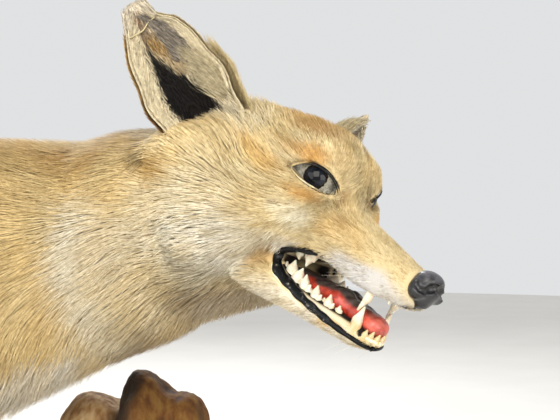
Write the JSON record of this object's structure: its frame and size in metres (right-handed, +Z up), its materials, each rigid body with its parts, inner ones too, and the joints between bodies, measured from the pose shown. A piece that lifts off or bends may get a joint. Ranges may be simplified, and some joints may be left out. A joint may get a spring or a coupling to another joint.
{
  "type": "taxidermy red fox",
  "caption": "Life-size mounted red fox with pale golden coat, head turned and mouth open, standing on a board beside a gnarled stump.",
  "frame": {"origin": "middle of the board's underside", "axes": "+X towards the fox's front, +Y to its left, +Z up from the surface the board stands on"},
  "size_m": [0.9077, 0.2272, 0.4828],
  "materials": {
    "coat": "matt golden tan fur",
    "pale_coat": "matt off-white fur",
    "dark_coat": "matt dark brown fur",
    "ear_coat": "short matt fur over thin skin",
    "nose_skin": "satin pebbled black",
    "eye_glass": "polished dark glass, opaque",
    "tongue": "painted coral red, dusty on top",
    "stump_wood": "rough dry wood with a dark fissure",
    "board_wood": "stained and waxed"
  },
  "bodies": {
    "root": {"head": "coat", "lower_jaw": "pale_coat", "tongue": "tongue", "nose": "nose_skin", "eye_left": "eye_glass", "eye_right": "eye_glass", "ear_left": "ear_coat", "ear_right": "ear_coat", "neck": "coat", "chest": "coat", "belly": "coat", "rump": "coat", "tail_base": "coat", "tail_middle": "coat", "tail_tip": "pale_coat", "fore_leg_left": "coat", "fore_leg_right": "coat", "fore_paw_left": "dark_coat", "fore_paw_right": "dark_coat", "hind_leg_left": "coat", "hind_leg_right": "coat", "hind_shank_left": "coat", "hind_shank_right": "coat", "hind_paw_left": "dark_coat", "hind_paw_right": "dark_coat", "stand_stump": "stump_wood", "stand_board": "board_wood"}
  },
  "joints": []
}
